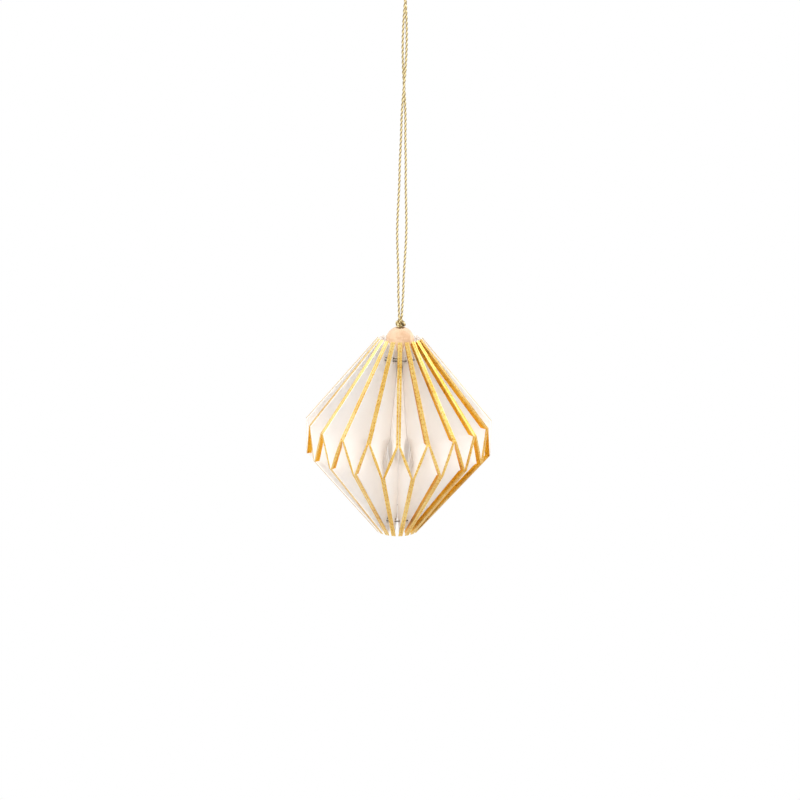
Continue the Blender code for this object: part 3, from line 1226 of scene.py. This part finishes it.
@dataclass(frozen=True)
class Ply:
    """One lobed ply of a twisted cord, in shares of the cord's diameter and of its own radius."""

    aside: float = 0.235
    radius: float = 0.25
    sides: int = 15
    lobes: float = 5.0
    lobe_height: float = 0.11
    lobe_middle: float = 0.95
    untwist: float = -0.9

    def _outline(self, rule: Rule) -> Value:
        """Draw the ply's lobed outline.

        Args:
            rule: the cord's tree.

        Returns:
            A closed curve.
        """
        ring = rule.ring(self.sides, rule.size("Diameter") * self.radius)
        here = rule.out("GeometryNodeInputPosition")
        x, y, _ = (Value(rule, part) for part in rule.node("ShaderNodeSeparateXYZ", {0: here}).outputs)
        bearing = rule.out("ShaderNodeMath", {0: y, 1: x}, operation="ARCTAN2")
        swell = (bearing * self.lobes).cosine() * self.lobe_height + self.lobe_middle
        return rule.out("GeometryNodeSetPosition", {"Geometry": ring, "Position": rule.scaled(here, swell)})

    def rule(self, finish: Material) -> Rule:
        """The tree that lays two plies round a path.

        Args:
            finish: the thread's material.

        Returns:
            The tree, with the inputs Diameter, Lay and Spacing.
        """
        rule = Rule("two_ply_twist", "Diameter", "Lay", "Spacing")
        path, outline = rule.path(), self._outline(rule)
        run = rule.out("GeometryNodeSplineParameter", pick="Length")
        normal, along = rule.out("GeometryNodeInputNormal"), rule.out("GeometryNodeInputTangent")
        beside = rule.out("ShaderNodeVectorMath", {0: along, 1: normal}, operation="CROSS_PRODUCT")
        turn = run / rule.size("Lay") * TURN
        plies = rule.node("GeometryNodeJoinGeometry")
        for phase in (0.0, math.pi):
            angle = turn + phase
            sides = {0: rule.scaled(normal, angle.cosine()), 1: rule.scaled(beside, angle.sine())}
            away = rule.out("ShaderNodeVectorMath", sides, operation="ADD")
            offset = rule.scaled(away, rule.size("Diameter") * self.aside)
            ply = rule.stored(path, "outward", away, "FLOAT_VECTOR")
            ply = rule.out("GeometryNodeSetPosition", {"Geometry": ply, "Offset": offset})
            ply = rule.out("GeometryNodeSetCurveTilt", {"Curve": ply, "Tilt": turn * self.untwist})
            # Painted reflection: crown tells how squarely each point faces out from the cord, and the thread's
            # colour is dark on the crowns and bright in the grooves.
            faced = {0: rule.named("outward", "FLOAT_VECTOR"), 1: normal}
            crown = rule.out("ShaderNodeVectorMath", faced, pick="Value", operation="DOT_PRODUCT")
            made = rule.stored(rule.swept(ply, outline), "crown", crown, "FLOAT")
            rule.nodes.links.new(made.socket, plies.inputs[0])
        rule.close(Value(rule, plies.outputs[0]), (finish, True))
        return rule


@dataclass(frozen=True)
class Knot:
    """An overhand knot: a trefoil that is run through twice, smaller and turned the second time."""

    height: float = 4.5 * MM
    width: float = 4.2 * MM
    points: int = 96
    taper: float = 0.32
    swing: float = math.radians(75.0)
    depth: float = 0.66
    trefoil_width: float = 1.85
    trefoil_height: float = 1.69
    trefoil_foot: float = 0.69

    def route(self, base: float, diameter: float) -> list[Vector]:
        """Draw the knot on the axis.

        Args:
            base: the knot's lowest point.
            diameter: the cord's diameter.

        Returns:
            Points along the knotted strand.
        """
        wide = (self.width - diameter) / self.trefoil_width
        tall = (self.height - diameter) / self.trefoil_height
        middle = base + diameter / 2 + self.trefoil_foot * tall
        last = 2 * self.points
        found = []
        for i in range(last + 1):
            turn = TURN * i / self.points
            shrink = 1.0 - self.taper * i / last
            x = (math.sin(turn) + 2.0 * math.sin(2.0 * turn)) / 3.0
            y = -math.sin(3.0 * turn) * self.depth
            z = (2.0 * math.cos(2.0 * turn) - math.cos(turn)) / 3.0
            flat = Matrix.Rotation(self.swing * i / last, 2) @ Vector((x * wide, y * wide)) * shrink
            found.append(Vector((flat.x, flat.y, middle + z * tall * shrink)))
        return found


@dataclass
class HangingCord:
    """The twisted gold cord: loop, knot on the bead, strands through it and end knot.

    The spreads are heights over the upper knot and half the distance between the loop's sides there, in mm.
    """

    finish: Finish = THREAD_PAINTED_REFLECTION
    diameter: float = 1.0 * MM
    spreads: tuple[Flat, ...] = (
        (0, 0.5), (12, 0.95), (34, 1.7), (55, 1.15), (72, 0.75), (104, 0.7), (134, 0.9)
    )
    wind_from: float = 72.0 * MM
    wind_to: float = 134.0 * MM
    eye_radius: float = 2.2 * MM
    eye_rise: float = 9.0 * MM
    lay: float = 3.7 * MM
    spacing: float = 0.24 * MM
    seat: float = -0.25 * MM
    loop_leaves: float = 0.8
    core_leaves: float = 0.45
    core_arrives: float = 0.55
    core_turn: float = 1.2 * math.pi
    side_cells: int = 40
    eye_cells: int = 8
    bend_cells: int = 12
    core_cells: int = 12
    ply: Ply = Ply()
    knot: Knot = Knot()

    def __post_init__(self) -> None:
        """Take the heights of the knots from what they sit on."""
        self.top_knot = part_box("wooden_bead")[1][2] + self.seat
        self.end_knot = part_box("stop_disc")[0][2] - self.seat - self.knot.height
        self.top = self.diameter / 2

    def spread(self, rise: float) -> float:
        """Half the distance between the two sides of the loop.

        Args:
            rise: the height over the knot.

        Returns:
            The half distance.
        """
        for (low, near), (high, far) in zip(self.spreads, self.spreads[1:]):
            if rise <= high * MM:
                return (near + (far - near) * ease((rise / MM - low) / (high - low))) * MM
        return self.spreads[-1][1] * MM

    def loop(self) -> list[Vector]:
        """Draw the loop from the knot up, round the eye and down again.

        Returns:
            Points along the loop.
        """
        leave = self.top_knot + self.knot.height * self.loop_leaves
        crown = self.top - self.eye_radius
        eye = crown - self.eye_rise
        heights = [leave + (eye - leave) * i / self.side_cells for i in range(self.side_cells)]
        heights += [eye + self.eye_rise * i / self.eye_cells for i in range(self.eye_cells + 1)]
        left, right = [], []
        for height in heights:
            rise = height - leave
            spread = self.spread(rise)
            spread += (self.eye_radius - spread) * ease((height - eye) / self.eye_rise)
            turn = TURN * min(max((rise - self.wind_from) / (self.wind_to - self.wind_from), 0.0), 1.0)
            aside = Vector((math.cos(turn) * spread, math.sin(turn) * spread, 0.0))
            left.append(upright(height) - aside)
            right.append(upright(height) + aside)
        bend = []
        for i in range(1, self.bend_cells):
            angle = math.pi * i / self.bend_cells
            height = crown + math.sin(angle) * self.eye_radius
            bend.append(Vector((-math.cos(angle) * self.eye_radius, 0.0, height)))
        return left + bend + right[::-1]

    def strand(self, phase: float) -> list[Vector]:
        """Draw one of the two strands from the upper knot to the end knot.

        Args:
            phase: the bearing at which it leaves the upper knot.

        Returns:
            Points along the strand.
        """
        high = self.top_knot + self.knot.height * self.core_leaves
        low = self.end_knot + self.knot.height * self.core_arrives
        found = []
        for i in range(self.core_cells + 1):
            share = i / self.core_cells
            out = across(phase + self.core_turn * share)
            found.append(out * self.diameter * 0.5 + upright(high + (low - high) * share))
        return found

    def build(self) -> None:
        rule = self.ply.rule(self.finish.make())
        sizes = {"Diameter": self.diameter, "Lay": self.lay, "Spacing": self.spacing}
        line = self.loop()
        routes = {
            "cord_loop": line,
            "cord_top_knot": self.knot.route(self.top_knot, self.diameter),
            "cord_end_knot": self.knot.route(self.end_knot, self.diameter),
            "cord_core_left": self.strand(0.0),
            "cord_core_right": self.strand(math.pi),
        }
        for name, route in routes.items():
            piece = add_piece(name, rule.follow(route, sizes))
            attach(piece, "cord")
            settle(piece, "hanging_cord")


@dataclass(frozen=True)
class Lamp:
    """A square soft lamp: where it stands, its side in metres, its watts and its colour."""

    name: str
    place: Triple
    size: float
    watts: float
    tint: Triple = WHITE

    def build(self, aim: Vector) -> None:
        """Put the lamp in place.

        Args:
            aim: the point that it looks at.
        """
        data = bpy.data.lights.new(self.name, "AREA")
        data.size, data.energy, data.color = self.size, self.watts, self.tint
        place = Vector(self.place)
        turn = (aim - place).to_track_quat("-Z", "Y").to_matrix().to_4x4()
        add_object(self.name, data).matrix_world = Matrix.Translation(place) @ turn


@dataclass
class Studio:
    """White floor, soft lamps and the camera at the photograph's angle; its aim is in picture pixels."""

    equator: float = EQUATOR
    elevation: float = math.radians(16.0)
    roll: float = math.radians(0.9)
    distance: float = 0.7
    pixels_per_metre: float = 2590.0
    frame_pixels: float = 800.0
    sensor_width: float = 36.0
    clip: Flat = (0.01, 20.0)
    aim_right: float = 1.4
    aim_up: float = 34.5
    floor_drop: float = 0.16
    floor_reach: float = 3.0
    floor_tint: Triple = (0.9, 0.9, 0.9)
    room_tint: Triple = (1.0, 0.985, 0.97)
    room_light: float = 1.15
    max_bounces: int = 24
    diffuse_bounces: int = 20
    lamps: tuple[Lamp, ...] = (
        Lamp("key_right", (0.85, -0.9, 0.3), 0.7, 1.9, (1.0, 0.99, 0.97)),
        Lamp("fill_left", (-1.0, -0.7, 0.1), 1.2, 1.8, (1.0, 0.97, 0.94)),
        Lamp("front", (0.1, -1.2, 0.15), 1.0, 1.4),
        Lamp("glint_right", (0.6, 0.34, 0.46), 0.5, 2.1),
        Lamp("glint_left", (-0.6, 0.3, 0.45), 0.4, 0.7),
    )

    def _camera(self) -> None:
        """Place the camera so that the bauble stands where the photograph has it."""
        ahead = Vector((0.0, math.cos(self.elevation), -math.sin(self.elevation)))
        right = Vector((1.0, 0.0, 0.0))
        up = right.cross(ahead)
        turn = Matrix.Rotation(-self.roll, 3, ahead)
        right, up = turn @ right, turn @ up
        aim = upright(self.equator)
        aim += right * (self.aim_right / self.pixels_per_metre) + up * (self.aim_up / self.pixels_per_metre)
        data = bpy.data.cameras.new("camera")
        data.sensor_width = self.sensor_width
        data.lens = data.sensor_width * self.distance * self.pixels_per_metre / self.frame_pixels
        data.clip_start, data.clip_end = self.clip
        camera = add_object("camera", data)
        place = aim - ahead * self.distance
        rows = [(right[i], up[i], -ahead[i], place[i]) for i in range(3)]
        camera.matrix_world = Matrix((*rows, (0.0, 0.0, 0.0, 1.0)))
        bpy.context.scene.camera = camera

    @staticmethod
    def _light(
        owner: Union[Material, bpy.types.World], lit: tuple[str, dict], shown: tuple[str, dict], output: str
    ) -> None:
        """Give a world or a material one shader for light on the bauble and one for rays that show it.

        Args:
            owner: the world or the material.
            lit: type and sockets of the shader that lights the bauble.
            shown: type and sockets of the shader that is seen.
            output: the type of the output node.
        """
        owner.use_nodes = True
        owner.node_tree.nodes.clear()
        tree = Tree(owner.node_tree)
        rays = tree.node("ShaderNodeLightPath").outputs
        names = ("Is Camera Ray", "Is Glossy Ray", "Is Transmission Ray")
        camera, glossy, through = (Value(tree, rays[name]) for name in names)
        seen = tree.out("ShaderNodeMath", {0: camera + glossy, 1: through}, operation="ADD", use_clamp=True)
        both = tree.out("ShaderNodeMixShader", {0: seen, 1: tree.out(*lit), 2: tree.out(*shown)})
        tree.node(output, {"Surface": both})

    def _world(self) -> None:
        """White backdrop that lights the bauble at a plain level."""
        world = bpy.data.worlds.new("white_room")
        bpy.context.scene.world = world
        soft = ("ShaderNodeBackground", {"Color": (*self.room_tint, 1.0), "Strength": self.room_light})
        plain = ("ShaderNodeBackground", {"Color": (*WHITE, 1.0), "Strength": 1.0})
        self._light(world, soft, plain, "ShaderNodeOutputWorld")

    def _floor(self) -> None:
        """A plain pale floor below the bauble."""
        mesh = bpy.data.meshes.new("floor")
        height, reach = self.equator - self.floor_drop, self.floor_reach
        signs = ((-1, -1), (1, -1), (1, 1), (-1, 1))
        mesh.from_pydata([(x * reach, y * reach, height) for x, y in signs], [], [(0, 1, 2, 3)])
        paint = bpy.data.materials.new("pale_floor")
        matte = ("ShaderNodeBsdfDiffuse", {"Color": (*self.floor_tint, 1.0)})
        glow = ("ShaderNodeEmission", {"Color": (*WHITE, 1.0), "Strength": 1.0})
        self._light(paint, matte, glow, "ShaderNodeOutputMaterial")
        mesh.materials.append(paint)
        add_piece("floor", mesh, smooth=False)

    def build(self) -> None:
        """Set the view, the camera, the backdrop and the lamps."""
        scene = bpy.context.scene
        scene.view_settings.view_transform = "Standard"
        scene.cycles.max_bounces, scene.cycles.diffuse_bounces = self.max_bounces, self.diffuse_bounces
        self._camera()
        self._world()
        self._floor()
        for lamp in self.lamps:
            lamp.build(upright(self.equator))


def main() -> None:
    """Build the studio and every piece in order."""
    logging.basicConfig(level=logging.INFO, format="%(name)s: %(message)s")
    for part in (Studio, HangingCord, LeafFan, WireRings, WoodenBead, StopDisc, ClosingDot):
        part().build()


if __name__ == "__main__":
    main()
